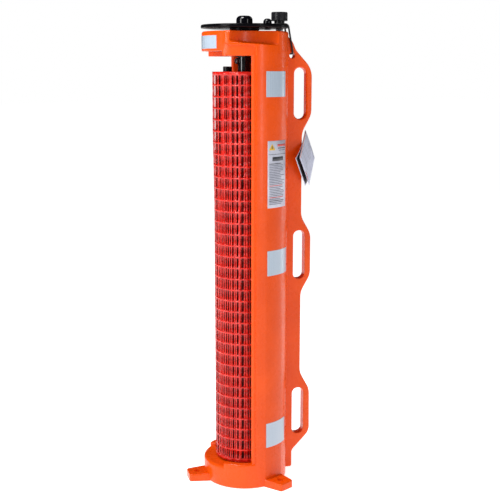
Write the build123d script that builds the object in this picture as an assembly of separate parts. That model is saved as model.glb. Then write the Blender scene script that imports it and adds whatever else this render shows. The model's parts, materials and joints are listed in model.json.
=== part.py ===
from build123d import *
import math
import os

# Portable roll-up fence barrier, in millimetres. The floor is Z = 0 and the crank shaft stands on
# the Z axis. The carrying fin points to +Y, and the bay that the fence leaves by opens to -Y.

# Moulded housing
SHELL_R = 110.0  # column, base drum and the raised shoulder of the head
LIP_R = 107.0  # bay lips and the front band of the head
BAY_R = 93.0  # inside of the column
LIP_Y = -9.0  # front plane of the bay lips
FLOOR_Z = 56.0  # floor of the bay
RIM_Z = 66.0  # rim of the base drum round the fence
CEILING_Z = 1110.0  # underside of the head
NOSE_Z = 1122.0  # underside of the head at its front notch
HEAD_Z = 1170.0  # top of the head
SHOULDER_Z = 1135.0  # underside of the raised shoulder
SHOULDER_Y = -71.0  # front end of the raised shoulder
SHOULDER_EDGE_R = 2.4
NOTCH_HALF_ANGLE = 45.0  # of the notches in the rim and the head
EDGE_R = 5.0  # rounding of the moulded edges

# Finger scoops in the two flanks of the head
SCOOP_R = 126.0
SCOOP_X = 200.0
SCOOP_FLOOR_Z = 1138.0
SCOOP_TILT = 3.6
SCOOP_BEND = 8.0  # between its floor and its wall
SCOOP_EDGE_R = 1.2

# Carrying fin and its three handles
FIN_T = 24.0
FIN_EDGE_R = 4.0
FIN_Y = 151.0  # back edge between the handles
GRIP_Y = 177.0  # back edge at the handles
FIN_FOOT_Y = 129.5
FIN_FOOT_Z = 7.0
GRIP_CENTRES_Z = (167.0, 597.5, 1017.0)
SLOT_HEIGHT = 130.0
SLOT_Y = (128.5, 160.5)
SLOT_CORNER_R = 15.0
LOCK_HOLE_Y = 122.3
LOCK_HOLE_Z = 1112.4
LOCK_HOLE_R = 7.8
TAG_HOLE_Y = 143.0
TAG_HOLE_Z = 857.0
TAG_HOLE_R = 3.0

# Ground lugs
LUG_HOLE_R = 8.0
LUG_CIRCLE_R = 132.0
LUG_TIP_R = 157.0
LUG_H = 20.0
LUG_TIP_HALF = 22.0
LUG_ROOT_HALF = 31.0
LUG_ANGLES = (-90.0, 30.0, 150.0)

# Shaft and its bearings
SHAFT_R = 16.7
SHAFT_WALL = 3.4
SHAFT_FOOT_Z = 26.0
SEAT_R = 22.0  # bearing seats in the base and the head
SEAT_FLOOR_Z = 20.0
RUNNING_CLEARANCE = 0.05
TOP_FLANGE_R = 37.0
TOP_FLANGE_Z = 1173.0
BOTTOM_FLANGE_R = 30.0
BOTTOM_FLANGE_Z = 58.8

# Crank disc and what stands on it
DISC_R = 109.0
DISC_Z = (1178.0, 1186.5)
HUB_Z = 1174.0
CAP_R = 20.5
CAP_TOP_Z = 1209.0
HUB_SCREW_CIRCLE_R = 28.0
STOP_BOLT_Y = 60.0

# Revolving knob
KNOB_Y = 91.2
KNOB_R = 20.6
KNOB_NECK_R = 13.0
KNOB_HEAD_Z = 1197.0
KNOB_TOP_Z = 1219.0
KNOB_BOLT_R = 5.0
KNOB_FLUTES = 18
KNOB_BOLT_HEAD_Z = 1207.0
KNOB_COVER_R = 9.5
KNOB_NUT_T = 4.5
HUB_SCREWS = 4
STOP_BOLT_R = 4.0

# Fence, wound on the shaft
FENCE_R = 82.0
FENCE_CORE_R = 24.0
FENCE_Z = (61.0, 1072.0)
POLE_X, POLE_Y = -62.8, -28.7
POLE_R = 10.0
POLE_CAP_R = 11.5
POLE_CAP_TOP_Z = 1085.0
CROSS_BOLT_Z = 1098.0
CROSS_BOLT_R = 4.0
CROSS_BOLT_AF = 13.0
CROSS_HEAD_T = 5.5
FENCE_SEAT_R = 34.0
FENCE_SCREWS = 5
FENCE_SCREW_R = 2.4

# Reflective patches: start angle, end angle from the fin, bottom and top
COLUMN_TAPES = {
    "top": (38.0, 76.0, 1011.0, 1073.0),
    "middle": (30.5, 73.5, 564.5, 628.5),
    "bottom": (33.5, 74.5, 108.0, 173.5),
}
NOSE_TAPE = (144.0, 216.0, 1127.5, 1159.0)
TAPE_T = 0.5
LABEL = (36.0, 73.5, 737.0, 904.0)
LABEL_T = 0.3

# Folded hang tag behind the fin
TAG_W = 93.5
TAG_L = 113.0
TAG_CENTRE = (2.2, 168.2, 851.5)
TAG_YAW = 33.2
TAG_TILT = 8.9
TAG_ROLL = -55.3
TAG_LEAF_T = 0.8
TAG_MOUTH = 4.5  # opening between the leaves, opposite their fold

# Cable tie that holds the tag to the fin
TIE_X = 14.0
TIE_Y = (143.0, 157.1)
TIE_WIDTH = 2.4
TIE_T = 1.0
TIE_SLIT_R = 4.0

# Elastic lock cord: a closed loop through the fin and round the neck of the knob
CORD_D = 4.6
CORD_X = 16.0
CORD_TOP_Z = 1189.1
CORD_EDGE_Y = 109.5
CORD_HOLE_Z = 1117.2
CORD_EDGE_BEND = 5.6
CORD_HOLE_BEND = 4.6
CRIMP_R = 3.4
CRIMP_Z = (1133.0, 1147.0)

LOW = (Align.CENTER, Align.CENTER, Align.MIN)


def rod(radius, z0, z1, x=0.0, y=0.0):
    """An upright cylinder."""
    return Pos(x, y, z0) * Cylinder(radius, z1 - z0, align=LOW)


def tube(outer, inner, z0, z1, x=0.0, y=0.0):
    """An upright hollow cylinder."""
    return rod(outer, z0, z1, x, y) - rod(inner, z0 - 1, z1 + 1, x, y)


def block(x0, x1, y0, y1, z0, z1):
    """A box between two corners."""
    size = (x1 - x0, y1 - y0, z1 - z0)
    return Pos((x0 + x1) / 2, (y0 + y1) / 2, (z0 + z1) / 2) * Box(*size)


def lying_rod(radius, length, centre, direction):
    """A cylinder along any direction, centred on a point."""
    return Plane(origin=centre, z_dir=direction) * Cylinder(radius, length)


def lying_hex(across_flats, length, centre, direction):
    """A hexagonal bar along any direction, centred on a point."""
    plane = Plane(origin=centre, z_dir=direction)
    face = RegularPolygon(across_flats / 2, 6, major_radius=False)
    return extrude(plane * face, length / 2, both=True)


def wedge(half_angle, centre_angle, reach, z0, z1):
    """A sector of space about the Z axis, up to 90 degrees each way; angles count from +X."""
    corners = [(0.0, 0.0)]
    for turn in (-half_angle, 0.0, half_angle):
        a = math.radians(centre_angle + turn)
        stretch = reach if turn == 0.0 else reach / math.cos(math.radians(half_angle))
        corners.append((stretch * math.cos(a), stretch * math.sin(a)))
    return Pos(0, 0, z0) * extrude(make_face(Polyline(*corners, close=True)), z1 - z0)


def patch(radius, thickness, from_fin, to_fin, z0, z1):
    """A thin sheet stuck round a cylinder; its angles count from the fin towards +X."""
    middle = 90.0 - (from_fin + to_fin) / 2
    sector = wedge((to_fin - from_fin) / 2, middle, 2 * radius, z0, z1)
    return tube(radius + thickness, radius, z0, z1) & sector


# ---------------------------------------------------------------- housing


def column_section():
    """Plan of the half-round column, with its rounded lips and the small step behind them."""
    back = Circle(SHELL_R) & Pos(0, SHELL_R) * Rectangle(4 * SHELL_R, 2 * SHELL_R)
    front = Circle(LIP_R) & Pos(0, LIP_Y / 2) * Rectangle(4 * SHELL_R, -LIP_Y)
    section = back + front - Circle(BAY_R)
    lip_corners = section.vertices().filter_by(lambda v: abs(v.Y - LIP_Y) < 0.01)
    return fillet(lip_corners, 6.5)


def head_block():
    """The round head: front band, raised shoulder, top edge and front notch."""
    band = rod(LIP_R, CEILING_Z, HEAD_Z)
    band = fillet(band.edges().group_by(Axis.Z)[-1], EDGE_R)
    band = fillet(band.edges().group_by(Axis.Z)[0], 2.0)
    band -= wedge(NOTCH_HALF_ANGLE, -90, 2 * SHELL_R, CEILING_Z - 1, NOSE_Z)
    shoulder = rod(SHELL_R, CEILING_Z, HEAD_Z)
    shoulder = fillet(shoulder.edges().group_by(Axis.Z)[-1], EDGE_R)
    side = Polyline(
        (SHOULDER_Y, SHOULDER_Z),
        (0.0, SHOULDER_Z),
        (0.0, CEILING_Z - 5),
        (2 * SHELL_R, CEILING_Z - 5),
        (2 * SHELL_R, HEAD_Z + 5),
        (SHOULDER_Y, HEAD_Z + 5),
        close=True,
    )
    profile = make_face(Plane.YZ * side)
    corners = [(SHOULDER_Y, SHOULDER_Z), (0.0, SHOULDER_Z)]
    rounded = profile.vertices().filter_by(
        lambda v: any(abs(v.Y - y) + abs(v.Z - z) < 0.01 for y, z in corners)
    )
    profile = fillet(rounded, 10.0)
    shoulder &= extrude(profile, 2 * SHELL_R, both=True)
    front_edges = shoulder.edges().filter_by(Axis.Z).filter_by(
        lambda e: abs(e.center().Y - SHOULDER_Y) < 0.01
    )
    return band + fillet(front_edges, SHOULDER_EDGE_R)


def scoop(side):
    """The concave finger scoop in one flank of the head; its floor slopes down to the fin."""
    cutter = rod(SCOOP_R, 0, 2 * (HEAD_Z - SCOOP_FLOOR_Z), side * SCOOP_X)
    cutter = fillet(cutter.edges().group_by(Axis.Z)[0], SCOOP_BEND)
    return Pos(0, 0, SCOOP_FLOOR_Z) * Rot(-SCOOP_TILT, 0, 0) * cutter


def is_scoop_edge(edge):
    """Whether an edge bounds a scoop on the outside of the head, under its rounded top."""
    places = [edge.position_at(share) for share in (0.05, 0.3, 0.5, 0.7, 0.95)]
    outside = all(abs(math.hypot(p.X, p.Y) - SHELL_R) < 0.6 for p in places)
    middle = edge.center()
    in_scoop = math.hypot(abs(middle.X) - SCOOP_X, middle.Y) < SCOOP_R + 1
    return outside and in_scoop and edge.geom_type in (GeomType.ELLIPSE, GeomType.BSPLINE)


def head():
    """The head with its two scoops, their edges eased."""
    body = head_block()
    for side in (-1, 1):
        body -= scoop(side)
    return fillet(body.edges().filter_by(is_scoop_edge), SCOOP_EDGE_R)


def base_drum():
    """The base drum with its rim, and the notch in the rim where the fence runs out."""
    drum = rod(SHELL_R, 0, RIM_Z)
    drum = fillet(drum.edges().group_by(Axis.Z)[0], EDGE_R)
    drum = fillet(drum.edges().group_by(Axis.Z)[-1], 3.5)
    low = rod(SHELL_R, 0, FLOOR_Z)
    low = fillet(low.edges().group_by(Axis.Z)[-1], 7.0)
    notch = wedge(NOTCH_HALF_ANGLE, -90, 2 * SHELL_R, FLOOR_Z - 10, RIM_Z + 1)
    return (drum - notch) + (low & notch)


def lug(angle):
    """One ground lug: a tapering tab with a stake hole."""
    root = SHELL_R - 25
    outline = Polyline(
        (root, -LUG_ROOT_HALF - 4),
        (LUG_TIP_R, -LUG_TIP_HALF),
        (LUG_TIP_R, LUG_TIP_HALF),
        (root, LUG_ROOT_HALF + 4),
        close=True,
    )
    face = make_face(outline)
    face = fillet(face.vertices().group_by(Axis.X)[-1], 7.0)
    tab = extrude(face, LUG_H)
    tab = fillet(tab.edges().group_by(Axis.Z)[-1], 3.0)
    tab = fillet(tab.edges().group_by(Axis.Z)[0], 1.5)
    return Rot(0, 0, angle) * tab


def lug_hole(angle):
    """The stake hole of one lug."""
    return Rot(0, 0, angle) * rod(LUG_HOLE_R, -1, LUG_H + 1, LUG_CIRCLE_R)


def grip_slot(centre_z):
    """Plan of one handle slot, in the plane of the fin."""
    width = SLOT_Y[1] - SLOT_Y[0]
    middle = (SLOT_Y[0] + SLOT_Y[1]) / 2
    return Pos(middle, centre_z) * RectangleRounded(width, SLOT_HEIGHT, SLOT_CORNER_R)


def fin_outline():
    """Corners of the fin as (y, z, rounding), from its foot up the back to the head."""
    low, middle, high = GRIP_CENTRES_Z
    reach = SLOT_HEIGHT / 2
    return [
        (60.0, FIN_FOOT_Z, 0.0),
        (FIN_FOOT_Y, FIN_FOOT_Z, 5.0),
        (FIN_FOOT_Y, low - reach - 48, 16.0),
        (GRIP_Y + 2, low - reach + 3, 35.0),
        (GRIP_Y + 1, low + reach - 7, 45.0),
        (FIN_Y, low + reach + 42, 50.0),
        (FIN_Y, middle - reach - 36, 50.0),
        (GRIP_Y, middle - reach + 9, 50.0),
        (GRIP_Y, middle + reach - 10, 50.0),
        (FIN_Y, middle + reach + 35, 50.0),
        (FIN_Y, high - reach - 34, 50.0),
        (GRIP_Y - 1, high - reach + 11, 50.0),
        (GRIP_Y - 1, high + reach - 3, 55.0),
        (132.5, 1126.0, 40.0),
        (124.0, 1147.0, 40.0),
        (106.5, 1164.0, 0.0),
        (60.0, 1164.0, 0.0),
    ]


def fin_plate():
    """The carrying fin: a flat plate with three grips, rounded all round."""
    outline = fin_outline()
    face = make_face(Polyline(*[(y, z) for y, z, r in outline], close=True))
    for y, z, r in outline:
        if r > 0:
            corner = face.vertices().sort_by_distance((y, z, 0))[0]
            face = fillet(corner, r)
    for z in GRIP_CENTRES_Z:
        face -= grip_slot(z)
    face -= Pos(LOCK_HOLE_Y, LOCK_HOLE_Z) * Circle(LOCK_HOLE_R)
    face -= Pos(TAG_HOLE_Y, TAG_HOLE_Z) * Circle(TAG_HOLE_R)
    plate = extrude(Plane.YZ * face, FIN_T / 2, both=True)
    for side in (0, -1):
        flank = plate.faces().filter_by(Axis.X).sort_by(Axis.X)[side]
        plate = fillet(flank.outer_wire().edges(), FIN_EDGE_R)
    for side in (0, -1):
        flank = plate.faces().filter_by(Axis.X).sort_by(Axis.X)[side]
        for rim in flank.inner_wires():
            if rim.length > SLOT_HEIGHT:
                plate = fillet(rim.edges(), FIN_EDGE_R)
    return plate


def housing():
    """The whole one-piece moulding."""
    body = base_drum() + Pos(0, 0, FLOOR_Z - 10) * extrude(
        column_section(), CEILING_Z - FLOOR_Z + 12
    )
    body += head()
    body += fin_plate()
    for angle in LUG_ANGLES:
        body += lug(angle)
    body -= rod(BAY_R, FLOOR_Z, CEILING_Z)
    body -= rod(SEAT_R, SEAT_FLOOR_Z, FLOOR_Z + 1)
    body -= rod(SEAT_R, CEILING_Z - 1, HEAD_Z + 1)
    for angle in LUG_ANGLES:
        body -= lug_hole(angle)
    return body


# ---------------------------------------------------------------- bearings and shaft


def top_bush():
    """The flanged bush in the head that the shaft turns in."""
    inner = SHAFT_R + RUNNING_CLEARANCE
    sleeve = tube(SEAT_R, inner, CEILING_Z - 2, HEAD_Z)
    flange = tube(TOP_FLANGE_R, inner, HEAD_Z, TOP_FLANGE_Z)
    return sleeve + flange


def foot_bearing():
    """The bearing cup in the base that carries the foot of the shaft."""
    cup = rod(SEAT_R, SEAT_FLOOR_Z, FLOOR_Z) + rod(BOTTOM_FLANGE_R, FLOOR_Z, BOTTOM_FLANGE_Z)
    return cup - rod(SHAFT_R + RUNNING_CLEARANCE, SHAFT_FOOT_Z, BOTTOM_FLANGE_Z + 1)


def shaft():
    """The steel pipe that carries the fence, cross-drilled for its bolt."""
    pipe = tube(SHAFT_R, SHAFT_R - SHAFT_WALL, SHAFT_FOOT_Z, DISC_Z[1])
    pipe -= lying_rod(CROSS_BOLT_R, 3 * SHAFT_R, (0, 0, CROSS_BOLT_Z), (0, 1, 0))
    for z in fence_screw_heights():
        pipe -= lying_rod(FENCE_SCREW_R, 8.0, (SHAFT_R - 2, 0, z), (1, 0, 0))
    return pipe


def fence_seat():
    """The collar on the shaft that the fence stands on."""
    return tube(FENCE_SEAT_R, SHAFT_R, BOTTOM_FLANGE_Z + 0.6, FENCE_Z[0])


def cross_bolt():
    """The hexagon-headed bolt through the shaft under the head."""
    shank = lying_rod(CROSS_BOLT_R, 56.0, (0, 3.0, CROSS_BOLT_Z), (0, 1, 0))
    head_y = -(SHAFT_R + CROSS_HEAD_T / 2 + 0.6)
    head = lying_hex(CROSS_BOLT_AF, CROSS_HEAD_T, (0, head_y, CROSS_BOLT_Z), (0, 1, 0))
    return shank + fillet(head.edges().group_by(Axis.Y)[0], 0.8)


def cross_bolt_nut():
    """The nut of the cross bolt."""
    y = SHAFT_R + CROSS_HEAD_T / 2 + 0.6
    nut = lying_hex(CROSS_BOLT_AF, CROSS_HEAD_T, (0, y, CROSS_BOLT_Z), (0, 1, 0))
    nut = fillet(nut.edges().group_by(Axis.Y)[-1], 0.8)
    return nut - lying_rod(CROSS_BOLT_R, 60.0, (0, y, CROSS_BOLT_Z), (0, 1, 0))


# ---------------------------------------------------------------- crank


def crank_disc():
    """The flat crank disc, bored for the shaft and its bolts."""
    disc = rod(DISC_R, *DISC_Z)
    disc = fillet(disc.edges().group_by(Axis.Z)[-1], 3.0)
    disc = fillet(disc.edges().group_by(Axis.Z)[0], 1.5)
    disc -= rod(SHAFT_R, 0, HEAD_Z * 2)
    disc -= rod(KNOB_BOLT_R, DISC_Z[0] - 1, DISC_Z[1] + 1, 0, KNOB_Y)
    disc -= rod(STOP_BOLT_R, DISC_Z[0] - 1, DISC_Z[1] + 1, 0, STOP_BOLT_Y)
    for x, y in hub_screw_places():
        disc -= hub_screw(x, y)
    return disc


def hub_plate():
    """The flange under the disc, welded to the shaft."""
    plate = tube(TOP_FLANGE_R, SHAFT_R, HUB_Z, DISC_Z[0])
    for x, y in hub_screw_places():
        plate -= hub_screw(x, y)
    return plate


def hub_screw_places():
    """Centres of the screws between the disc and the hub plate."""
    angles = [math.radians(45 + 90 * i) for i in range(HUB_SCREWS)]
    return [(HUB_SCREW_CIRCLE_R * math.cos(a), HUB_SCREW_CIRCLE_R * math.sin(a)) for a in angles]


def hub_screw(x, y):
    """One countersunk screw, flush with the top of the disc."""
    shank = rod(2.5, HUB_Z + 0.4, DISC_Z[1] - 1, x, y)
    sink = Pos(x, y, DISC_Z[1] - 1.4) * Cone(2.5, 5.0, 2.8)
    return shank + sink


def shaft_cap():
    """The domed end cap over the top of the shaft, with a plug inside the pipe."""
    dome = rod(CAP_R, DISC_Z[1], CAP_TOP_Z)
    dome = fillet(dome.edges().group_by(Axis.Z)[-1], 11.0)
    return dome + rod(SHAFT_R - SHAFT_WALL, DISC_Z[1] - 25, DISC_Z[1] + 1)


def stop_bolt():
    """The bolt of the domed nut, with its flat head under the disc."""
    head = rod(8.0, DISC_Z[0] - 3.0, DISC_Z[0], 0, STOP_BOLT_Y)
    return head + rod(STOP_BOLT_R, DISC_Z[0] - 1, DISC_Z[1] + 9, 0, STOP_BOLT_Y)


def domed_nut():
    """The domed nut on the disc, between the shaft and the knob."""
    nut = rod(10.6, DISC_Z[1], DISC_Z[1] + 16.5, 0, STOP_BOLT_Y)
    nut = fillet(nut.edges().group_by(Axis.Z)[-1], 8.5)
    foot = Pos(0, STOP_BOLT_Y, DISC_Z[1]) * extrude(RegularPolygon(11.4, 6), 5.0)
    return nut + foot - rod(STOP_BOLT_R, DISC_Z[1] - 1, DISC_Z[1] + 9, 0, STOP_BOLT_Y)


def crank_knob():
    """The fluted knob that revolves on its bolt."""
    neck = rod(KNOB_NECK_R, DISC_Z[1] + 1.2, KNOB_HEAD_Z + 1, 0, KNOB_Y)
    head = rod(KNOB_R, KNOB_HEAD_Z, KNOB_TOP_Z, 0, KNOB_Y)
    head = chamfer(head.edges().group_by(Axis.Z)[-1], 1.8)
    head = chamfer(head.edges().group_by(Axis.Z)[0], 1.2)
    for i in range(KNOB_FLUTES):
        a = 2 * math.pi * (i + 0.5) / KNOB_FLUTES
        x, y = (KNOB_R + 1.2) * math.cos(a), KNOB_Y + (KNOB_R + 1.2) * math.sin(a)
        head -= rod(2.2, KNOB_HEAD_Z - 1, KNOB_TOP_Z + 1, x, y)
    knob = neck + head
    knob -= rod(KNOB_BOLT_R + RUNNING_CLEARANCE, DISC_Z[1], KNOB_TOP_Z, 0, KNOB_Y)
    return knob - rod(KNOB_COVER_R, KNOB_BOLT_HEAD_Z - 0.3, KNOB_TOP_Z + 1, 0, KNOB_Y)


def knob_bolt():
    """The shoulder bolt that the knob turns on, with its head sunk in the knob."""
    shank = rod(KNOB_BOLT_R, DISC_Z[0] - KNOB_NUT_T, KNOB_BOLT_HEAD_Z, 0, KNOB_Y)
    return shank + rod(KNOB_COVER_R - 1, KNOB_BOLT_HEAD_Z, KNOB_BOLT_HEAD_Z + 4, 0, KNOB_Y)


def knob_washer():
    """The washer between the knob and the disc."""
    return tube(11.0, KNOB_BOLT_R, DISC_Z[1], DISC_Z[1] + 1.0, 0, KNOB_Y)


def knob_nut():
    """The thin nut of the knob bolt, under the disc."""
    nut = Pos(0, KNOB_Y, DISC_Z[0] - KNOB_NUT_T) * extrude(RegularPolygon(9.2, 6), KNOB_NUT_T)
    return nut - rod(KNOB_BOLT_R, DISC_Z[0] - KNOB_NUT_T - 1, DISC_Z[0] + 1, 0, KNOB_Y)


def knob_cover():
    """The snap-in cover over the bolt head."""
    cover = rod(KNOB_COVER_R, KNOB_TOP_Z - 3.0, KNOB_TOP_Z - 0.6, 0, KNOB_Y)
    return fillet(cover.edges().group_by(Axis.Z)[-1], 0.8)


# ---------------------------------------------------------------- fence and its pole


def fence_roll():
    """The wound mesh fence, as one closed annulus with room for the pole."""
    roll = tube(FENCE_R, FENCE_CORE_R, *FENCE_Z)
    return roll - rod(POLE_CAP_R + 0.2, FENCE_Z[0] - 1, FENCE_Z[1] + 1, POLE_X, POLE_Y)


def fence_screw_heights():
    """Heights of the screws along the shaft."""
    step = (FENCE_Z[1] - FENCE_Z[0]) / FENCE_SCREWS
    return [FENCE_Z[0] + (i + 0.5) * step for i in range(FENCE_SCREWS)]


def fence_screw(z):
    """One of the screws that hold the inner end of the fence to the shaft."""
    head = lying_rod(6.0, 2.6, (SHAFT_R + 1.3, 0, z), (1, 0, 0))
    shank = lying_rod(FENCE_SCREW_R, 8.0, (SHAFT_R - 2, 0, z), (1, 0, 0))
    return head + shank


def leading_pole():
    """The pole at the free end of the fence."""
    return tube(POLE_R, POLE_R - 1.8, FENCE_Z[0] + 5, POLE_CAP_TOP_Z - 3, POLE_X, POLE_Y)


def pole_cap(end):
    """The moulded cap at one end of the pole: end is -1 for the foot and 1 for the top."""
    if end > 0:
        z0, z1 = POLE_CAP_TOP_Z - 27, POLE_CAP_TOP_Z
        socket = rod(POLE_R, z0 - 1, z1 - 3, POLE_X, POLE_Y)
    else:
        z0, z1 = FENCE_Z[0], FENCE_Z[0] + 22
        socket = rod(POLE_R, z0 + 5, z1 + 1, POLE_X, POLE_Y)
    cap = rod(POLE_CAP_R, z0, z1, POLE_X, POLE_Y)
    outer_end = -1 if end > 0 else 0
    cap = fillet(cap.edges().group_by(Axis.Z)[outer_end], 2.5)
    return cap - socket


# ---------------------------------------------------------------- tag


def tag_plane():
    """The plane of the tag's front leaf: X across the leaf, Y towards its fold."""
    yaw, tilt, roll = (math.radians(v) for v in (TAG_YAW, TAG_TILT, TAG_ROLL))
    flat = math.cos(tilt)
    normal = Vector(math.sin(yaw) * flat, math.cos(yaw) * flat, math.sin(tilt))
    level = Vector(-math.cos(yaw), math.sin(yaw), 0)
    up = normal.cross(level)
    across = level * math.cos(roll) + up * math.sin(roll)
    return Plane(origin=TAG_CENTRE, x_dir=across, z_dir=normal)


def hang_tag():
    """A card folded in two, a little open, with a hole in its back leaf for the tie."""
    fold, mouth, half = TAG_L / 2, -TAG_L / 2, TAG_LEAF_T / 2
    profile = Polyline(
        (fold, half),
        (mouth, half),
        (mouth, -half),
        (fold - 2, -half),
        (mouth, -half - TAG_MOUTH),
        (mouth, -3 * half - TAG_MOUTH),
        (fold, -3 * half),
        close=True,
    )
    side = tag_plane()
    section = Plane(origin=side.origin, x_dir=side.y_dir, z_dir=side.x_dir)
    card = extrude(section * make_face(profile), TAG_W / 2, both=True)
    back = Vector(TIE_X - 1.4, TIE_Y[1] - 0.9, TAG_HOLE_Z)
    return card - lying_rod(TIE_SLIT_R, 1.9, back, side.z_dir)


def tag_tie():
    """The cable tie through the small hole of the fin, round its edge and through the tag."""
    half, t = TIE_WIDTH / 2, TIE_T / 2
    z0, z1 = TAG_HOLE_Z - half, TAG_HOLE_Z + half
    outer = block(-TIE_X - t, TIE_X + t, TIE_Y[0] - t, TIE_Y[1] + t, z0, z1)
    inner = block(-TIE_X + t, TIE_X - t, TIE_Y[0] + t, TIE_Y[1] - t, z0 - 1, z1 + 1)
    head = block(-TIE_X - 4, -TIE_X + t, 146.0, 151.0, z0 - 1, z1 + 1)
    return outer - inner + head


# ---------------------------------------------------------------- lock cord


def cord_point(z, side):
    """A point of the tight strand on one flank of the fin, at a height."""
    share = (z - CORD_HOLE_Z) / (CORD_TOP_Z - CORD_HOLE_Z)
    y = LOCK_HOLE_Y + share * (CORD_EDGE_Y - LOCK_HOLE_Y)
    return (side * CORD_X, y, z)


def cord_route():
    """The cord from one end of its crimp to the other, with the bend at each corner."""
    neck_y = KNOB_Y - CORD_X
    points = [
        cord_point(CRIMP_Z[1], -1),
        cord_point(CORD_TOP_Z, -1),
        (-CORD_X, neck_y, CORD_TOP_Z),
        (CORD_X, neck_y, CORD_TOP_Z),
        cord_point(CORD_TOP_Z, 1),
        cord_point(CORD_HOLE_Z, 1),
        cord_point(CORD_HOLE_Z, -1),
        cord_point(CRIMP_Z[0], -1),
    ]
    neck_bend = CORD_X - 0.4
    edge, hole = CORD_EDGE_BEND, CORD_HOLE_BEND
    return points, [edge, neck_bend, neck_bend, edge, hole, hole]


def lock_cord():
    """The elastic cord, tight round the knob's neck, the disc's edge and through the fin."""
    points, bends = cord_route()
    path = FilletPolyline(*points, radius=bends)
    start = Vector(*points[0])
    section = Plane(origin=start, z_dir=Vector(*points[1]) - start) * Circle(CORD_D / 2)
    cord = sweep(section, path=path)
    print("lock_cord bends", bends, "length", round(path.length, 1))
    print("lock_cord volume", round(cord.volume), "of", round(section.area * path.length))
    return cord


def cord_crimp():
    """The metal ferrule that joins the two ends of the cord."""
    low, high = (Vector(*cord_point(z, -1)) for z in CRIMP_Z)
    barrel = lying_rod(CRIMP_R, (high - low).length, (low + high) / 2, high - low)
    return fillet(barrel.edges(), 0.8)


# ---------------------------------------------------------------- parts


def tape_parts():
    """The reflective patches on the nose and on both flanks of the column."""
    tapes = {"tape_nose": patch(LIP_R, TAPE_T, *NOSE_TAPE)}
    for name, (start, end, z0, z1) in COLUMN_TAPES.items():
        tapes["tape_right_" + name] = patch(SHELL_R, TAPE_T, start, end, z0, z1)
        tapes["tape_left_" + name] = patch(SHELL_R, TAPE_T, -end, -start, z0, z1)
    return tapes


def all_parts():
    """Every piece of the barrier, by node name."""
    made = {
        "housing": housing(),
        "top_bush": top_bush(),
        "foot_bearing": foot_bearing(),
        "label_panel": patch(SHELL_R, LABEL_T, *LABEL),
        "lock_cord": lock_cord(),
        "lock_cord_crimp": cord_crimp(),
        "hang_tag": hang_tag(),
        "tag_tie": tag_tie(),
        "shaft": shaft(),
        "fence_seat": fence_seat(),
        "hub_plate": hub_plate(),
        "crank_disc": crank_disc(),
        "shaft_cap": shaft_cap(),
        "stop_bolt": stop_bolt(),
        "domed_nut": domed_nut(),
        "cross_bolt": cross_bolt(),
        "cross_bolt_nut": cross_bolt_nut(),
        "fence_roll": fence_roll(),
        "leading_pole": leading_pole(),
        "pole_cap_foot": pole_cap(-1),
        "pole_cap_top": pole_cap(1),
        "knob_bolt": knob_bolt(),
        "knob_washer": knob_washer(),
        "knob_nut": knob_nut(),
        "crank_knob": crank_knob(),
        "knob_cover": knob_cover(),
    }
    made.update(tape_parts())
    for i, (x, y) in enumerate(hub_screw_places()):
        made["hub_screw_" + str(i + 1)] = hub_screw(x, y)
    for i, z in enumerate(fence_screw_heights()):
        made["fence_screw_" + str(i + 1)] = fence_screw(z)
    return made


os.makedirs("parts", exist_ok=True)
for node, solid in all_parts().items():
    export_step(solid, "parts/" + node + ".step")
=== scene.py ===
import json
import math
import random

import bpy
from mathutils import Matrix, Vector


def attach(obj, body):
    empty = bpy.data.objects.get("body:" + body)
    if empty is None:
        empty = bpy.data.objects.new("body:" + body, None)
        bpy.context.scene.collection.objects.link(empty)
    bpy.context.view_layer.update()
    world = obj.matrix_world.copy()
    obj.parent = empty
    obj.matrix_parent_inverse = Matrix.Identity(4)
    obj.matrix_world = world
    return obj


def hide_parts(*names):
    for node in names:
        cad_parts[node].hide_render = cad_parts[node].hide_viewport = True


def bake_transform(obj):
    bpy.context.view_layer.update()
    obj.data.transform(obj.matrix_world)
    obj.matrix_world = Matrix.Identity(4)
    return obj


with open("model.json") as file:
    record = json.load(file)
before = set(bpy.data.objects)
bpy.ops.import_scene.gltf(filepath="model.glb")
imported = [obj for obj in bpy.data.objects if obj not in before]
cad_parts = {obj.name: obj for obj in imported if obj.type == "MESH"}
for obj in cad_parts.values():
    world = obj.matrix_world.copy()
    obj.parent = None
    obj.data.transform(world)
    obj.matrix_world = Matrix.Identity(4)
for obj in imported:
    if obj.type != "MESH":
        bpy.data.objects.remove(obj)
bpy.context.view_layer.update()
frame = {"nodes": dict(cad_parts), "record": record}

# Camera: standing off the crank shaft, a little above the middle of the barrier
CAMERA_AZIMUTH = 75.256
CAMERA_DISTANCE = 2.4832
CAMERA_HEIGHT = 1.0766
CAMERA_PITCH = 10.535
CAMERA_YAW = 0.322
CAMERA_LENS = 69.79

# Column, as in the CAD
SHELL_R = 0.110

# The moulding's edges
EDGE_WIDTH = 0.0018
EDGE_ANGLE = 38.0
EDGE_SEGMENTS = 3
WELD_DISTANCE = 0.00002

# Elastic lock cord, with the route of its CAD tube
CORD_D = 0.0046
CORD_SIDES = 16
CORD_ROUTE = [
    (-0.016, 0.1170, 1.1470),
    (-0.016, 0.1128, 1.1700),
    (-0.016, 0.1095, 1.1891),
    (-0.016, 0.0950, 1.1891),
    (-0.016, 0.0752, 1.1891),
    (0.016, 0.0752, 1.1891),
    (0.016, 0.0950, 1.1891),
    (0.016, 0.1095, 1.1891),
    (0.016, 0.1128, 1.1700),
    (0.016, 0.1192, 1.1350),
    (0.016, 0.1223, 1.1172),
    (0.0, 0.1223, 1.1165),
    (-0.016, 0.1223, 1.1172),
    (-0.016, 0.1195, 1.1330),
]

# CAD nodes whose look differs from the rest of their slot
OWN_MATERIAL = {"crank_disc": "disc_black", "hub_plate": "disc_black"}

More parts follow.
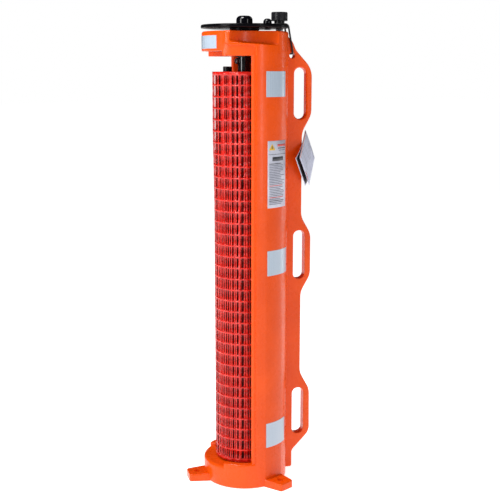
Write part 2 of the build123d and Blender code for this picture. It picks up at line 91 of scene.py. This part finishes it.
# Netting of the wound fence: its bottom and top, its outer radius and the step of a turn
NET_Z = (0.061, 1.072)
NET_R = 0.0785
NET_PITCH = 0.00135
NET_TURNS = 13
# Outer turns that keep the net's own colour; the turns inside them get painted shade
NET_UNSHADED_TURNS = 3
NET_START = 0.35
NET_GIRTH = 2 * math.pi * (NET_R - NET_TURNS * NET_PITCH / 2)

# Its strands and openings
NET_ROWS = 35
NET_CELL = 0.0182
NET_STRAND = 0.0029
NET_UPRIGHT = 0.0026
NET_SELVEDGE = 0.0090
NET_T = 0.0011
NET_STAGGER = 0.37
NET_UNEVEN = 0.0014
NET_SLIP = 0.0004
NET_WAIST = 0.0002
NET_JOINT = 0.0005
NET_JOINT_RISE = 0.0003
NET_DISH = 0.0005

# How its outer turn stands off near the top, over the tight inner turns
NET_FLARE = 0.0032
NET_TIGHT = 0.0026
NET_FLARE_Z = (0.700, 0.960)

# The pole wound up with it: its direction, its near and far sides, and the bulge over it
POLE_ANGLE = math.atan2(-0.0287, -0.0628)
POLE_CENTRE_R = 0.069
POLE_TURN_R = 0.0700
POLE_IN = 0.0583
POLE_OUT = 0.0798
POLE_BULGE = 0.030
POLE_OUT_SHARE = 0.14
POLE_IN_SHARE = 0.10

# Folded tag: its centre, its turns and its size
TAG_CENTRE = Vector((0.0022, 0.1682, 0.8515))
TAG_YAW = 33.2
TAG_TILT = 8.9
TAG_ROLL = -55.3
TAG_W = 0.0935
TAG_L = 0.113
TAG_MOUTH = 0.0100
TAG_GRID = 13
LEAF_T = 0.0005

# Studio: light of the room on the object and in its reflections, and of the floor itself
ROOM_LIGHT = 0.22
ROOM_GLOSS = 0.07
FLOOR_GLOW = 0.82

# Information panel on the column: angles from the fin, bottom and top, and what is printed on it
LABEL_START = 36.0
LABEL_END = 73.5
LABEL_LOW = 0.737
LABEL_TOP = 0.904
FILM_T = 0.0003
INK_T = 0.00015
PRINT_R = SHELL_R + 0.00045
SIGN_BASE = 0.0230
SIGN_HEIGHT = 0.0155
SIGN_HALF_ANGLE = 5.2
SIGN_TIP_ANGLE = 0.15
SIGN_CENTRE = 66.5
SIGN_ROWS = 8
LABEL_LINES = 25
LABEL_LINE_T = 0.0019
LABEL_LINE_STEP = 0.0042

# Ink on the tag, lifted off its card
TAG_INK_LIFT = 0.00055
TAG_INK_T = 0.0001
TAG_LINES = 9


# ---------------------------------------------------------------- camera


def make_camera():
    """The camera at the photographed viewpoint."""
    a = math.radians(CAMERA_AZIMUTH)
    place = Vector(
        (math.sin(a) * CAMERA_DISTANCE, -math.cos(a) * CAMERA_DISTANCE, CAMERA_HEIGHT)
    )
    ahead = Vector((-math.sin(a), math.cos(a), 0.0))
    right = Vector((math.cos(a), math.sin(a), 0.0))
    yaw, pitch = math.radians(CAMERA_YAW), math.radians(CAMERA_PITCH)
    level = ahead * math.cos(yaw) + right * math.sin(yaw)
    look = level * math.cos(pitch) - Vector((0, 0, 1)) * math.sin(pitch)
    data = bpy.data.cameras.new("camera")
    data.lens = CAMERA_LENS
    data.sensor_width = 36.0
    data.clip_end = 100.0
    camera = bpy.data.objects.new("camera", data)
    camera.rotation_mode = "QUATERNION"
    camera.location = place
    camera.rotation_quaternion = look.to_track_quat("-Z", "Y")
    bpy.context.collection.objects.link(camera)
    bpy.context.scene.camera = camera


# ---------------------------------------------------------------- materials


def new_material(name, color, roughness, metallic=0.0, coat=0.0, specular=0.5):
    """A Principled material with one base colour."""
    made = bpy.data.materials.new(name)
    made.use_nodes = True
    shader = made.node_tree.nodes["Principled BSDF"]
    shader.inputs["Base Color"].default_value = (*color, 1.0)
    shader.inputs["Roughness"].default_value = roughness
    shader.inputs["Metallic"].default_value = metallic
    shader.inputs["Coat Weight"].default_value = coat
    shader.inputs["Coat Roughness"].default_value = 0.08
    shader.inputs["Specular IOR Level"].default_value = specular
    return made


def shader_of(made):
    """The Principled shader of a material."""
    return made.node_tree.nodes["Principled BSDF"]


def noise(made, scale, detail=3.0):
    """A noise texture in the object's own coordinates."""
    tree = made.node_tree
    coords = tree.nodes.new("ShaderNodeTexCoord")
    texture = tree.nodes.new("ShaderNodeTexNoise")
    texture.inputs["Scale"].default_value = scale
    texture.inputs["Detail"].default_value = detail
    texture.inputs["Roughness"].default_value = 0.5
    tree.links.new(coords.outputs["Object"], texture.inputs["Vector"])
    return texture


def vary_color(made, texture, low, high, start=0.35, end=0.65):
    """Base colour that runs from low to high with a texture."""
    tree = made.node_tree
    ramp = tree.nodes.new("ShaderNodeValToRGB")
    ramp.color_ramp.elements[0].position = start
    ramp.color_ramp.elements[0].color = (*low, 1.0)
    ramp.color_ramp.elements[1].position = end
    ramp.color_ramp.elements[1].color = (*high, 1.0)
    tree.links.new(texture.outputs[0], ramp.inputs["Fac"])
    tree.links.new(ramp.outputs["Color"], shader_of(made).inputs["Base Color"])


def vary_roughness(made, texture, low, high):
    """Roughness that runs from low to high with a texture."""
    tree = made.node_tree
    spread = tree.nodes.new("ShaderNodeMapRange")
    spread.inputs["From Min"].default_value = 0.3
    spread.inputs["From Max"].default_value = 0.7
    spread.inputs["To Min"].default_value = low
    spread.inputs["To Max"].default_value = high
    tree.links.new(texture.outputs[0], spread.inputs["Value"])
    tree.links.new(spread.outputs["Result"], shader_of(made).inputs["Roughness"])


def add_bump(made, texture, distance, strength, edge_radius=0.0):
    """Surface relief from a texture, over edges that look rounded to a radius."""
    tree = made.node_tree
    bump = tree.nodes.new("ShaderNodeBump")
    bump.inputs["Distance"].default_value = distance
    bump.inputs["Strength"].default_value = strength
    tree.links.new(texture.outputs[0], bump.inputs["Height"])
    if edge_radius > 0:
        rounded = tree.nodes.new("ShaderNodeBevel")
        rounded.samples = 8
        rounded.inputs["Radius"].default_value = edge_radius
        tree.links.new(rounded.outputs["Normal"], bump.inputs["Normal"])
    tree.links.new(bump.outputs["Normal"], shader_of(made).inputs["Normal"])


def shell_material():
    """Rotomoulded orange polyethylene: satin, faintly mottled, with a fine orange peel."""
    made = new_material("shell", (0.82, 0.084, 0.002), 0.30, coat=0.10, specular=0.22)
    vary_color(made, noise(made, 9.0, 4.0), (0.79, 0.074, 0.001), (0.87, 0.088, 0.002))
    vary_roughness(made, noise(made, 60.0, 5.0), 0.23, 0.33)
    add_bump(made, noise(made, 420.0, 2.0), 0.0004, 0.14, 0.0015)
    return made


def gloss_black():
    """Polished black moulding of the caps."""
    made = new_material("gloss_black", (0.002, 0.002, 0.004), 0.15, specular=0.45)
    vary_roughness(made, noise(made, 35.0, 5.0), 0.12, 0.19)
    add_bump(made, noise(made, 300.0, 2.0), 0.0002, 0.10)
    return made


def disc_black():
    """The flat crank disc and the flange under it: black, with little sheen."""
    made = new_material("disc_black", (0.0012, 0.0010, 0.002), 0.30, specular=0.10)
    vary_roughness(made, noise(made, 60.0, 3.0), 0.27, 0.32)
    add_bump(made, noise(made, 300.0, 2.0), 0.0002, 0.08)
    return made


def satin_black(name, roughness):
    """Black nylon with a fine moulded grain."""
    made = new_material(name, (0.006, 0.006, 0.009), roughness, specular=0.3)
    vary_roughness(made, noise(made, 80.0, 4.0), roughness - 0.06, roughness + 0.08)
    add_bump(made, noise(made, 900.0, 2.0), 0.0002, 0.25)
    return made


def black_pipe():
    """Gloss black paint on the steel pipe."""
    made = new_material("pipe_paint", (0.005, 0.005, 0.007), 0.14, coat=0.5)
    vary_roughness(made, noise(made, 50.0, 4.0), 0.10, 0.20)
    add_bump(made, noise(made, 250.0, 2.0), 0.0002, 0.08)
    return made


def dark_steel():
    """Dark zinc-plated fasteners."""
    made = new_material("bolt_steel", (0.20, 0.20, 0.21), 0.30, metallic=1.0)
    vary_color(made, noise(made, 250.0), (0.12, 0.12, 0.13), (0.28, 0.28, 0.29))
    vary_roughness(made, noise(made, 400.0), 0.24, 0.42)
    return made


def net_material():
    """Extruded red-orange netting: glossy, uneven in colour."""
    made = new_material("fence_mesh", (0.72, 0.018, 0.010), 0.26)
    vary_color(made, noise(made, 55.0, 3.0), (0.60, 0.010, 0.007), (0.80, 0.026, 0.014))
    vary_roughness(made, noise(made, 180.0, 3.0), 0.20, 0.34)
    add_bump(made, noise(made, 500.0, 2.0), 0.0003, 0.25)
    return made


def shaded_net_material():
    """The same netting on the inner turns, painted darker as painted shade from the turns wound
    over them.
    """
    made = new_material("fence_mesh_painted_shade", (0.13, 0.003, 0.002), 0.45, specular=0.2)
    vary_color(made, noise(made, 55.0, 3.0), (0.07, 0.002, 0.001), (0.20, 0.005, 0.003))
    add_bump(made, noise(made, 500.0, 2.0), 0.0003, 0.25)
    return made


def tape_material():
    """Retroreflective film: pale blue-grey, with its fine prism cells."""
    made = new_material("reflective_tape", (0.44, 0.52, 0.62), 0.30, coat=0.6)
    tree = made.node_tree
    coords = tree.nodes.new("ShaderNodeTexCoord")
    cells = tree.nodes.new("ShaderNodeTexVoronoi")
    cells.inputs["Scale"].default_value = 420.0
    cells.inputs["Randomness"].default_value = 0.15
    tree.links.new(coords.outputs["Object"], cells.inputs["Vector"])
    vary_color(made, cells, (0.50, 0.59, 0.69), (0.38, 0.46, 0.56), 0.1, 0.7)
    add_bump(made, cells, 0.0002, 0.2)
    return made


def film_material(name, low, high, scale=40.0):
    """Printed film or card with a slight cloud in its colour; also the dark sheet that is painted
    shade inside the tag's fold.
    """
    made = new_material(name, high, 0.4)
    vary_color(made, noise(made, scale, 4.0), low, high)
    add_bump(made, noise(made, 700.0, 2.0), 0.0001, 0.15)
    return made


def cord_material():
    """Braided black shock cord."""
    made = new_material("cord_black", (0.006, 0.006, 0.007), 0.55)
    tree = made.node_tree
    coords = tree.nodes.new("ShaderNodeTexCoord")
    braid = tree.nodes.new("ShaderNodeTexWave")
    braid.bands_direction = "DIAGONAL"
    braid.inputs["Scale"].default_value = 260.0
    braid.inputs["Distortion"].default_value = 0.6
    tree.links.new(coords.outputs["Object"], braid.inputs["Vector"])
    add_bump(made, braid, 0.0004, 0.6)
    vary_color(made, braid, (0.004, 0.004, 0.005), (0.014, 0.014, 0.016), 0.2, 0.8)
    return made


def make_materials():
    """All the materials, by the record's slot or by what they are printed on."""
    return {
        "shell": shell_material(),
        "black_plastic": gloss_black(),
        "disc_black": disc_black(),
        "bush_plastic": satin_black("bush_plastic", 0.32),
        "knob_plastic": satin_black("knob_plastic", 0.30),
        "fence_mesh": net_material(),
        # Painted shade: a darker copy of the net for its inner turns
        "fence_mesh_painted_shade": shaded_net_material(),
        "pipe_steel": black_pipe(),
        "bolt_steel": dark_steel(),
        "reflective_tape": tape_material(),
        "label_film": film_material("label_film", (0.48, 0.49, 0.58), (0.57, 0.58, 0.67)),
        "tag_card": film_material("tag_card", (0.53, 0.55, 0.70), (0.62, 0.64, 0.79)),
        "cord_black": cord_material(),
        "ink_dark": film_material("ink_dark", (0.03, 0.03, 0.04), (0.06, 0.06, 0.07)),
        "ink_grey": film_material("ink_grey", (0.16, 0.17, 0.22), (0.22, 0.23, 0.29)),
        "ink_pale": film_material("ink_pale", (0.38, 0.40, 0.48), (0.46, 0.48, 0.57)),
        "ink_yellow": film_material("ink_yellow", (0.70, 0.42, 0.03), (0.80, 0.50, 0.05)),
        "ink_orange": film_material("ink_orange", (0.70, 0.20, 0.06), (0.80, 0.26, 0.09)),
        "ink_red": film_material("ink_red", (0.50, 0.05, 0.05), (0.62, 0.08, 0.07)),
        # Painted shade inside the tag's fold
        "tag_fold_shade": film_material("tag_fold_shade", (0.003, 0.003, 0.004), (0.03, 0.012, 0.010), 60.0),
    }


def round_housing():
    """Rounds the moulding's sharp edges a little."""
    housing = frame["nodes"]["housing"]
    weld = housing.modifiers.new("weld", "WELD")
    weld.merge_threshold = WELD_DISTANCE
    bevel = housing.modifiers.new("bevel", "BEVEL")
    bevel.limit_method = "ANGLE"
    bevel.angle_limit = math.radians(EDGE_ANGLE)
    bevel.width = EDGE_WIDTH
    bevel.segments = EDGE_SEGMENTS


def paint_cad_nodes(materials):
    """Gives every CAD node the material of its slot."""
    slots = {s["node"]: s["material_slot"] for s in frame["record"]["subparts"]}
    for name, node in frame["nodes"].items():
        node.data.materials.clear()
        node.data.materials.append(materials[OWN_MATERIAL.get(name, slots[name])])


# ---------------------------------------------------------------- meshes


def mesh_object(name, vertices, faces, materials, smooth=True):
    """A mesh object with one or more materials."""
    data = bpy.data.meshes.new(name)
    data.from_pydata(vertices, [], faces)
    for made in materials:
        data.materials.append(made)
    for polygon in data.polygons:
        polygon.use_smooth = smooth
    data.update()
    made_object = bpy.data.objects.new(name, data)
    bpy.context.collection.objects.link(made_object)
    return made_object


def thicken(obj, thickness, offset=-1.0):
    """Gives a sheet its thickness."""
    solid = obj.modifiers.new("thickness", "SOLIDIFY")
    solid.thickness = thickness
    solid.offset = offset
    solid.use_even_offset = True


def grid_faces(columns, rows):
    """Faces of a grid whose points run along each row in turn."""
    faces = []
    for j in range(rows - 1):
        for i in range(columns - 1):
            a = j * columns + i
            faces.append((a, a + 1, a + columns + 1, a + columns))
    return faces


def column_point(radius, from_fin, z):
    """A point round the shaft axis; its angle counts from the fin towards +X."""
    a = math.radians(from_fin)
    return (radius * math.sin(a), radius * math.cos(a), z)


def curved_print(name, radius, start, end, z0, z1, thickness, made):
    """A thin printed patch that follows the column."""
    columns = max(3, int((end - start) / 1.5) + 2)
    points = []
    for z in (z0, z1):
        for i in range(columns):
            angle = end + (start - end) * i / (columns - 1)
            points.append(column_point(radius, angle, z))
    patch = mesh_object(name, points, grid_faces(columns, 2), [made])
    thicken(patch, thickness)
    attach(patch, "housing")
    return patch


# ---------------------------------------------------------------- lock cord


def route_points(route):
    """Points along the smooth line of a route."""
    curve = bpy.data.curves.new("route", "CURVE")
    curve.dimensions = "3D"
    spline = curve.splines.new("NURBS")
    spline.points.add(len(route) - 1)
    for point, place in zip(spline.points, route):
        point.co = (*place, 1.0)
    spline.order_u = 3
    spline.use_endpoint_u = True
    spline.resolution_u = 8
    holder = bpy.data.objects.new("route", curve)
    line = bpy.data.meshes.new_from_object(holder)
    points = [vertex.co.copy() for vertex in line.vertices]
    bpy.data.objects.remove(holder)
    bpy.data.meshes.remove(line)
    return points


def tube_mesh(name, points, radius, sides, made):
    """A closed tube along points, with rings that don't twist."""
    vertices = []
    across = Vector((1, 0, 0))
    for i, point in enumerate(points):
        ahead = points[min(i + 1, len(points) - 1)] - points[max(i - 1, 0)]
        ahead.normalize()
        across = (across - ahead * across.dot(ahead)).normalized()
        up = ahead.cross(across)
        for k in range(sides):
            a = 2 * math.pi * k / sides
            vertices.append(point + (across * math.cos(a) + up * math.sin(a)) * radius)
    faces = []
    for i in range(len(points) - 1):
        for k in range(sides):
            n = (k + 1) % sides
            a, b = i * sides, (i + 1) * sides
            faces.append((a + k, a + n, b + n, b + k))
    faces.append(tuple(reversed(range(sides))))
    last = (len(points) - 1) * sides
    faces.append(tuple(last + k for k in range(sides)))
    return mesh_object(name, vertices, faces, [made])


def make_lock_cord(materials):
    """The elastic loop from the fin, over the disc and round the neck of the knob."""
    points = route_points(CORD_ROUTE)
    cord = tube_mesh("lock_loop", points, CORD_D / 2, CORD_SIDES, materials["cord_black"])
    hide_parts("lock_cord")
    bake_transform(cord)


# ---------------------------------------------------------------- fence


def smooth_step(value):
    """From 0 to 1 with flat ends."""
    t = min(max(value, 0.0), 1.0)
    return t * t * (3 - 2 * t)


def wound_radius(nominal, angle, z):
    """Radius of one turn: looser near the top, and round the pole that it is wound with."""
    turn = (NET_R - nominal) / NET_PITCH
    flare = smooth_step((z - NET_FLARE_Z[0]) / (NET_FLARE_Z[1] - NET_FLARE_Z[0]))
    outer = 1 - smooth_step((turn - 0.9) / 0.5)
    radius = nominal + flare * (NET_FLARE * outer - NET_TIGHT * (1 - outer))
    off = math.remainder(angle - POLE_ANGLE, 2 * math.pi) * POLE_CENTRE_R
    near = 0.5 + 0.5 * math.cos(math.pi * min(abs(off) / POLE_BULGE, 1.0))
    if radius >= POLE_TURN_R:
        aside = POLE_OUT + (radius - POLE_TURN_R) * POLE_OUT_SHARE
    else:
        aside = POLE_IN - (POLE_TURN_R - radius) * POLE_IN_SHARE
    return radius + (aside - radius) * near


def net_columns(rng):
    """Distances along the fence of its upright strands, each turn out of step with the last."""
    cells = round(NET_GIRTH / NET_CELL)
    places = []
    for turn in range(NET_TURNS):
        shift = (turn * NET_STAGGER) % 1.0
        for i in range(cells):
            place = NET_GIRTH * (turn + (i + shift) / cells)
            places.append(place + rng.uniform(-NET_UNEVEN, NET_UNEVEN))
    return places


def net_lines(uprights):
    """Upright lines of the net as (distance, side): both sides of each strand, and mid cell."""
    lines = []
    for i, place in enumerate(uprights):
        ahead = uprights[i + 1] if i + 1 < len(uprights) else place + NET_CELL
        lines.append((place - NET_UPRIGHT / 2, -1))
        lines.append((place + NET_UPRIGHT / 2, 1))
        lines.append(((place + ahead) / 2, 0))
    return lines


def net_levels():
    """Level lines of the net as (height, side), with a broad selvedge at bottom and top."""
    low = NET_Z[0] + NET_SELVEDGE / 2
    high = NET_Z[1] - NET_SELVEDGE / 2
    step = (high - low) / NET_ROWS
    levels = []
    for i in range(NET_ROWS + 1):
        z = low + (high - low) * i / NET_ROWS
        half = NET_SELVEDGE / 2 if i in (0, NET_ROWS) else NET_STRAND / 2
        levels.append((z - half, -1))
        levels.append((z + half, 1))
        if i < NET_ROWS:
            levels.append((z + step / 2, 0))
    return levels


def is_selvedge(z):
    """Whether a height lies in the bottom or the top selvedge."""
    reach = NET_SELVEDGE + 0.002
    return z < NET_Z[0] + reach or z > NET_Z[1] - reach


def net_point(nominal, angle, slip, side, z, level):
    """A point of the net; strands widen where they cross and dish in mid cell."""
    edge = is_selvedge(z)
    high = z if edge else z + slip
    turned = angle
    if level == 0:
        turned += side * NET_WAIST / NET_R
    elif side:
        turned -= side * NET_JOINT / NET_R
        high += 0.0 if edge else level * NET_JOINT_RISE
    radius = wound_radius(nominal, angle, z)
    if level == 0:
        radius -= NET_DISH
    return (radius * math.cos(turned), radius * math.sin(turned), high)


def net_points(lines, levels, drift):
    """All the points of the net, up each upright line in turn."""
    points = []
    for place, side in lines:
        turns = place / NET_GIRTH
        angle = NET_START - turns * 2 * math.pi
        nominal = NET_R - NET_PITCH * turns
        turn = int(turns)
        slip = drift[turn] + (drift[turn + 1] - drift[turn]) * (turns - turn)
        for z, level in levels:
            points.append(net_point(nominal, angle, slip, side, z, level))
    return points


def net_faces(lines, levels):
    """Faces of the strands, and for each whether it lies on an inner turn, which is painted darker
    as painted shade.
    """
    tall = len(levels)
    shade_from = NET_UNSHADED_TURNS * 2 * math.pi * NET_R
    faces = []
    inner = []
    for i in range(len(lines) - 1):
        for j in range(tall - 1):
            if lines[i][1] == -1 or levels[j][1] == -1:
                a = i * tall + j
                faces.append((a, a + tall, a + tall + 1, a + 1))
                inner.append(lines[i][0] > shade_from)
    return faces, inner


def make_fence_net(materials):
    """The outer turns of the fence: one long net with open cells, wound on a spiral."""
    rng = random.Random(7)
    lines = net_lines(net_columns(rng))
    levels = net_levels()
    drift = [rng.uniform(-NET_SLIP, NET_SLIP) for _ in range(NET_TURNS + 2)]
    points = net_points(lines, levels, drift)
    faces, inner = net_faces(lines, levels)
    # The second look is painted shade on the inner turns
    looks = [materials["fence_mesh"], materials["fence_mesh_painted_shade"]]
    net = mesh_object("fence_net", points, faces, looks)
    for polygon, has_painted_shade in zip(net.data.polygons, inner):
        polygon.material_index = 1 if has_painted_shade else 0
    thicken(net, NET_T, 1.0)
    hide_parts("fence_roll")
    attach(net, "spool")


# ---------------------------------------------------------------- label


def label_heading(materials):
    """Three blocks in place of the heading."""
    blocks = [(48.0, 0.0055, "red"), (47.0, 0.0020, "dark"), (45.0, 0.0020, "grey")]
    start = LABEL_START + 2
    high = LABEL_TOP - 0.009
    for i, (left, size, ink) in enumerate(blocks):
        name = "label_head_" + str(i)
        made = materials["ink_" + ink]
        curved_print(name, PRINT_R, start, left + 9, high - size, high, INK_T, made)
        high -= size + 0.0032


def label_sign(materials):
    """A plain triangle that follows the column, with a stroke in it."""
    points = []
    for j in range(SIGN_ROWS + 1):
        half = SIGN_HALF_ANGLE * (1 - j / SIGN_ROWS) + SIGN_TIP_ANGLE
        z = LABEL_TOP - SIGN_BASE + SIGN_HEIGHT * j / SIGN_ROWS
        for i in range(7):
            points.append(column_point(PRINT_R, SIGN_CENTRE + half * (1 - i / 3), z))
    faces = grid_faces(7, SIGN_ROWS + 1)
    sign = mesh_object("label_triangle", points, faces, [materials["ink_yellow"]])
    thicken(sign, INK_T)
    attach(sign, "housing")
    low, high = LABEL_TOP - 0.020, LABEL_TOP - 0.013
    dark = materials["ink_dark"]
    curved_print("label_stroke", PRINT_R + 0.0001, 65.8, 67.2, low, high, 0.0001, dark)


def label_text(materials):
    """A rule, a block and lines of uneven length in place of the text."""
    bars = [
        ("label_rule", LABEL_START + 1, LABEL_END - 1, 0.034, 0.033),
        ("label_block", 44.0, 66.0, 0.050, 0.040),
    ]
    for name, start, end, down_to, down_from in bars:
        low, high = LABEL_TOP - down_to, LABEL_TOP - down_from
        curved_print(name, PRINT_R, start, end, low, high, INK_T, materials["ink_dark"])
    rng = random.Random(3)
    inks = {0: "dark", 13: "red", 20: "red", 22: "dark"}
    left = LABEL_END - 2.5
    high = LABEL_TOP - 0.056
    for line in range(LABEL_LINES):
        reach = rng.uniform(0.62, 0.98) * (LABEL_END - LABEL_START - 5)
        made = materials["ink_" + inks.get(line, "grey")]
        name = "label_line_" + str(line)
        curved_print(name, PRINT_R, left - reach, left, high - LABEL_LINE_T, high, INK_T, made)
        high -= LABEL_LINE_STEP


def make_label(materials):
    """The information panel, with generic blocks and lines in place of its print."""
    panel = curved_print(
        "label_film",
        SHELL_R + FILM_T,
        LABEL_START,
        LABEL_END,
        LABEL_LOW,
        LABEL_TOP,
        FILM_T,
        materials["label_film"],
    )
    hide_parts("label_panel")
    label_heading(materials)
    label_sign(materials)
    label_text(materials)


# ---------------------------------------------------------------- tag


def tag_axes():
    """Across, towards the fold, and out of the tag's front leaf."""
    yaw, tilt, roll = (math.radians(v) for v in (TAG_YAW, TAG_TILT, TAG_ROLL))
    flat = math.cos(tilt)
    out = Vector((math.sin(yaw) * flat, math.cos(yaw) * flat, math.sin(tilt)))
    level = Vector((-math.cos(yaw), math.sin(yaw), 0))
    up = out.cross(level)
    across = level * math.cos(roll) + up * math.sin(roll)
    return across, out.cross(across), out


def tag_point(a, c, lift, leaf):
    """A point of the tag: a across and c towards the fold run from -1 to 1."""
    across, along, out = tag_axes()
    bow = 0.0006 * (1 - a * a)
    if leaf:
        open_share = (1 - c) / 2
        lift -= 0.0008 + TAG_MOUTH * open_share**4
        bow = -0.0004 * (1 - a * a) * open_share
    return TAG_CENTRE + across * (a * TAG_W / 2) + along * (c * TAG_L / 2) + out * (lift + bow)


def tag_sheet(name, leaf, a0, a1, c0, c1, lift, thickness, made):
    """A leaf of the tag, or a printed area on it."""
    points = []
    for j in range(TAG_GRID):
        for i in range(TAG_GRID):
            a = a0 + (a1 - a0) * i / (TAG_GRID - 1)
            c = c0 + (c1 - c0) * j / (TAG_GRID - 1)
            points.append(tag_point(a, c, lift, leaf))
    sheet = mesh_object(name, points, grid_faces(TAG_GRID, TAG_GRID), [made])
    thicken(sheet, thickness)
    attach(sheet, "housing")
    return sheet


def tag_ink(name, a0, a1, c0, c1, made):
    """A printed area on the front leaf."""
    tag_sheet(name, 0, a0, a1, c0, c1, TAG_INK_LIFT, TAG_INK_T, made)


def make_tag(materials):
    """The folded card, with painted shade inside its fold, and plain printed lines."""
    card = materials["tag_card"]
    front = tag_sheet("tag_front", 0, -1, 1, -1, 1, 0.0004, LEAF_T, card)
    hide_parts("hang_tag")
    back = tag_sheet("tag_back", 1, -1, 1, -1, 1, 0.0002, LEAF_T, card)
    dark = materials["tag_fold_shade"]
    # A dark sheet inside the fold as painted shade
    tag_sheet("tag_inside", 1, -0.95, 0.95, -0.95, 0.9, 0.00035, TAG_INK_T, dark)
    rng = random.Random(11)
    for i in range(TAG_LINES):
        c = 0.78 - 0.185 * i
        reach = rng.uniform(0.9, 1.45)
        size = 0.05 if i % 3 else 0.09
        name = "tag_line_" + str(i)
        tag_ink(name, -0.82, -0.82 + reach, c - size, c, materials["ink_pale"])
    tag_ink("tag_bar", -0.95, -0.90, -0.95, 0.95, materials["ink_orange"])
    tag_ink("tag_mark", 0.1, 0.7, -0.93, -0.86, materials["ink_red"])


# ---------------------------------------------------------------- stage


def area_light(name, place, target, size_x, size_y, power):
    """A rectangular white softbox."""
    data = bpy.data.lights.new(name, "AREA")
    data.shape = "RECTANGLE"
    data.size, data.size_y = size_x, size_y
    data.energy = power
    light = bpy.data.objects.new(name, data)
    light.location = place
    light.rotation_mode = "QUATERNION"
    light.rotation_quaternion = (Vector(target) - Vector(place)).to_track_quat("-Z", "Y")
    bpy.context.collection.objects.link(light)


def make_world():
    """Even white surroundings, dimmer to the object and its reflections than to the camera."""
    world = bpy.data.worlds.new("studio")
    world.use_nodes = True
    tree = world.node_tree
    background = tree.nodes["Background"]
    path = tree.nodes.new("ShaderNodeLightPath")
    seen = tree.nodes.new("ShaderNodeMapRange")
    seen.inputs["To Min"].default_value = ROOM_LIGHT
    seen.inputs["To Max"].default_value = 1.0
    mirrored = tree.nodes.new("ShaderNodeMapRange")
    mirrored.inputs["To Min"].default_value = 1.0
    mirrored.inputs["To Max"].default_value = ROOM_GLOSS
    both = tree.nodes.new("ShaderNodeMath")
    both.operation = "MULTIPLY"
    tree.links.new(path.outputs["Is Camera Ray"], seen.inputs["Value"])
    tree.links.new(path.outputs["Is Glossy Ray"], mirrored.inputs["Value"])
    tree.links.new(seen.outputs["Result"], both.inputs[0])
    tree.links.new(mirrored.outputs["Result"], both.inputs[1])
    tree.links.new(both.outputs[0], background.inputs["Strength"])
    background.inputs["Color"].default_value = (1, 1, 1, 1)
    bpy.context.scene.world = world


def make_stage():
    """A pale floor, a white room, and soft lights in front, above, beside and behind."""
    bpy.ops.mesh.primitive_plane_add(size=60.0, location=(0, 0, -0.0005))
    floor = bpy.context.object
    floor.name = "floor"
    floor_paint = new_material("floor", (0.90, 0.90, 0.90), 0.9, specular=0.1)
    shader_of(floor_paint).inputs["Emission Color"].default_value = (1, 1, 1, 1)
    shader_of(floor_paint).inputs["Emission Strength"].default_value = FLOOR_GLOW
    floor.data.materials.append(floor_paint)
    make_world()
    area_light("key", (0.9, -2.2, 1.7), (0, 0, 0.6), 0.5, 2.2, 30)
    area_light("top", (0.5, -0.9, 2.9), (0, 0, 0.3), 0.8, 0.8, 44)
    area_light("rim", (-0.55, 2.1, 1.0), (0, 0.05, 0.6), 0.06, 2.0, 3)
    area_light("side", (2.2, 1.3, 1.3), (0, 0.05, 0.6), 0.30, 2.0, 10)
    bpy.context.scene.view_settings.view_transform = "Standard"


def main():
    """Builds the barrier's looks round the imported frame."""
    make_camera()
    materials = make_materials()
    make_lock_cord(materials)
    paint_cad_nodes(materials)
    round_housing()
    make_fence_net(materials)
    make_label(materials)
    make_tag(materials)
    make_stage()


main()
